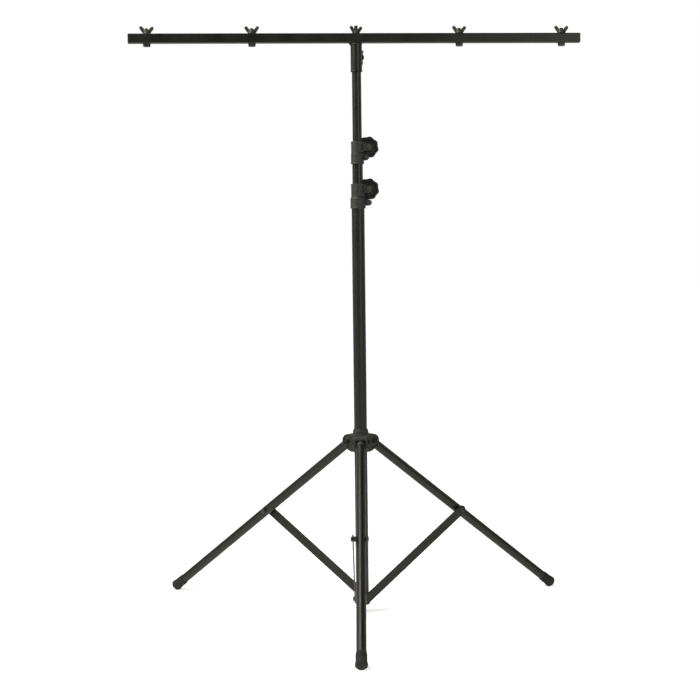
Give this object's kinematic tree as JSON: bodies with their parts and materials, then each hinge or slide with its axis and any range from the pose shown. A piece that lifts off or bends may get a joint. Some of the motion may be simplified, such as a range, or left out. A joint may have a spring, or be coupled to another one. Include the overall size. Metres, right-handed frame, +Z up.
{
  "type": "lighting t bar stand",
  "caption": "Telescopic lighting stand with a folding tripod, clamp collars with star knobs and a square cross bar that carries lamps on upright bolts with wing nuts.",
  "frame": {"origin": "on the floor, on the axis of the mast", "axes": "+Z up along the mast, +X along the cross bar, away from the mast on the side of the clamp ears; -Y is the front, where the front leg points"},
  "size_m": [1.22, 1.0241, 1.5945],
  "materials": {
    "paint": "satin black powder coat",
    "moulding": "black moulded nylon",
    "knob": "black moulded plastic, slightly grained",
    "rubber": "matt black rubber",
    "black_steel": "blackened steel"
  },
  "bodies": {
    "lower_mast": {"lower_tube": "paint", "foot_block": "moulding", "lower_clamp_collar": "moulding", "lower_collar_bolt": "black_steel", "lower_clamp_bolt": "black_steel", "strut_foot_screw_front": "black_steel", "strut_foot_screw_right": "black_steel", "strut_foot_screw_left": "black_steel"},
    "middle_mast": {"middle_tube": "paint", "middle_tube_bush": "moulding", "upper_clamp_collar": "moulding", "upper_collar_bolt": "black_steel", "upper_clamp_bolt": "black_steel"},
    "upper_mast": {"upper_tube": "paint", "upper_tube_bush": "moulding", "upper_tube_plug": "moulding"},
    "t_bar": {"cross_bar": "paint", "bar_cap_right": "moulding", "bar_cap_left": "moulding", "bar_socket": "paint", "bar_bolt_1": "black_steel", "bar_bolt_2": "black_steel", "bar_bolt_3": "black_steel", "bar_bolt_4": "black_steel", "bar_bolt_5": "black_steel"},
    "socket_screw": {"socket_screw": "black_steel"},
    "wing_nut_1": {"wing_nut_1": "black_steel"},
    "wing_nut_2": {"wing_nut_2": "black_steel"},
    "wing_nut_3": {"wing_nut_3": "black_steel"},
    "wing_nut_4": {"wing_nut_4": "black_steel"},
    "wing_nut_5": {"wing_nut_5": "black_steel"},
    "lower_knob": {"lower_knob": "knob"},
    "upper_knob": {"upper_knob": "knob"},
    "hub": {"hub": "moulding", "leg_pivot_bolt_front": "black_steel", "leg_pivot_bolt_right": "black_steel", "leg_pivot_bolt_left": "black_steel"},
    "hub_knob": {"hub_knob": "knob"},
    "leg_front": {"leg_tube_front": "paint", "leg_eye_front": "moulding", "boot_front": "rubber", "strut_pin_front": "black_steel"},
    "leg_right": {"leg_tube_right": "paint", "leg_eye_right": "moulding", "boot_right": "rubber", "strut_pin_right": "black_steel"},
    "leg_left": {"leg_tube_left": "paint", "leg_eye_left": "moulding", "boot_left": "rubber", "strut_pin_left": "black_steel"},
    "strut_front": {"strut_front": "paint", "strut_head_bolt_front": "black_steel"},
    "strut_right": {"strut_right": "paint", "strut_head_bolt_right": "black_steel"},
    "strut_left": {"strut_left": "paint", "strut_head_bolt_left": "black_steel"}
  },
  "joints": [
    {"name": "hub_slide", "type": "slide", "parent": "lower_mast", "child": "hub", "axis": [0, 0, 1], "range_m": [0, 0.2971]},
    {"name": "leg_fold_front", "type": "hinge", "parent": "hub", "child": "leg_front", "pos_m": [-0.00314, -0.03386, 0.46969], "axis": [0.9957, -0.0924, 0], "range_deg": [0, 50]},
    {"name": "leg_fold_right", "type": "hinge", "parent": "hub", "child": "leg_right", "pos_m": [0.03089, 0.01421, 0.46969], "axis": [-0.4179, 0.9085, 0], "range_deg": [0, 50]},
    {"name": "leg_fold_left", "type": "hinge", "parent": "hub", "child": "leg_left", "pos_m": [-0.02775, 0.01965, 0.46969], "axis": [-0.5779, -0.8161, 0], "range_deg": [0, 50]},
    {"name": "strut_fold_front", "type": "hinge", "parent": "lower_mast", "child": "strut_front", "pos_m": [0, 0, 0.035], "axis": [-0.9957, 0.0924, 0], "range_deg": [0, 47.18]},
    {"name": "strut_fold_right", "type": "hinge", "parent": "lower_mast", "child": "strut_right", "pos_m": [0, 0, 0.035], "axis": [0.4179, -0.9085, 0], "range_deg": [0, 47.18]},
    {"name": "strut_fold_left", "type": "hinge", "parent": "lower_mast", "child": "strut_left", "pos_m": [0, 0, 0.035], "axis": [0.5779, 0.8161, 0], "range_deg": [0, 47.18]},
    {"name": "hub_knob_turn", "type": "hinge", "parent": "hub", "child": "hub_knob", "pos_m": [0, 0, 0.46969], "axis": [0.0924, 0.9957, 0], "continuous": true},
    {"name": "middle_mast_slide", "type": "slide", "parent": "lower_mast", "child": "middle_mast", "axis": [0, 0, 1], "range_m": [-0.05, 0.8]},
    {"name": "upper_mast_slide", "type": "slide", "parent": "middle_mast", "child": "upper_mast", "axis": [0, 0, 1], "range_m": [-0.18, 0.6]},
    {"name": "lower_knob_turn", "type": "hinge", "parent": "lower_mast", "child": "lower_knob", "pos_m": [0.0305, 0, 1.1569], "axis": [0, 1, 0], "continuous": true},
    {"name": "upper_knob_turn", "type": "hinge", "parent": "middle_mast", "child": "upper_knob", "pos_m": [0.0305, 0, 1.2701], "axis": [0, 1, 0], "continuous": true},
    {"name": "t_bar_swivel", "type": "hinge", "parent": "upper_mast", "child": "t_bar", "pos_m": [0, 0, 1.5481], "axis": [0, 0, 1], "continuous": true},
    {"name": "socket_screw_turn", "type": "hinge", "parent": "t_bar", "child": "socket_screw", "pos_m": [0, 0, 1.5118], "axis": [0.5736, 0.8192, 0], "continuous": true},
    {"name": "wing_nut_turn_1", "type": "hinge", "parent": "t_bar", "child": "wing_nut_1", "pos_m": [-0.56, 0, 1.5735], "axis": [0, 0, 1], "continuous": true},
    {"name": "wing_nut_turn_2", "type": "hinge", "parent": "t_bar", "child": "wing_nut_2", "pos_m": [-0.28, 0, 1.5735], "axis": [0, 0, 1], "continuous": true},
    {"name": "wing_nut_turn_3", "type": "hinge", "parent": "t_bar", "child": "wing_nut_3", "pos_m": [0, 0, 1.5735], "axis": [0, 0, 1], "continuous": true},
    {"name": "wing_nut_turn_4", "type": "hinge", "parent": "t_bar", "child": "wing_nut_4", "pos_m": [0.28, 0, 1.5735], "axis": [0, 0, 1], "continuous": true},
    {"name": "wing_nut_turn_5", "type": "hinge", "parent": "t_bar", "child": "wing_nut_5", "pos_m": [0.56, 0, 1.5735], "axis": [0, 0, 1], "continuous": true}
  ],
  "couplings": [
    {"joint": "leg_fold_front", "follows": "hub_slide", "rad_per_m": 2.937},
    {"joint": "leg_fold_right", "follows": "hub_slide", "rad_per_m": 2.937},
    {"joint": "leg_fold_left", "follows": "hub_slide", "rad_per_m": 2.937},
    {"joint": "strut_fold_front", "follows": "hub_slide", "rad_per_m": 2.7713},
    {"joint": "strut_fold_right", "follows": "hub_slide", "rad_per_m": 2.7713},
    {"joint": "strut_fold_left", "follows": "hub_slide", "rad_per_m": 2.7713}
  ]
}
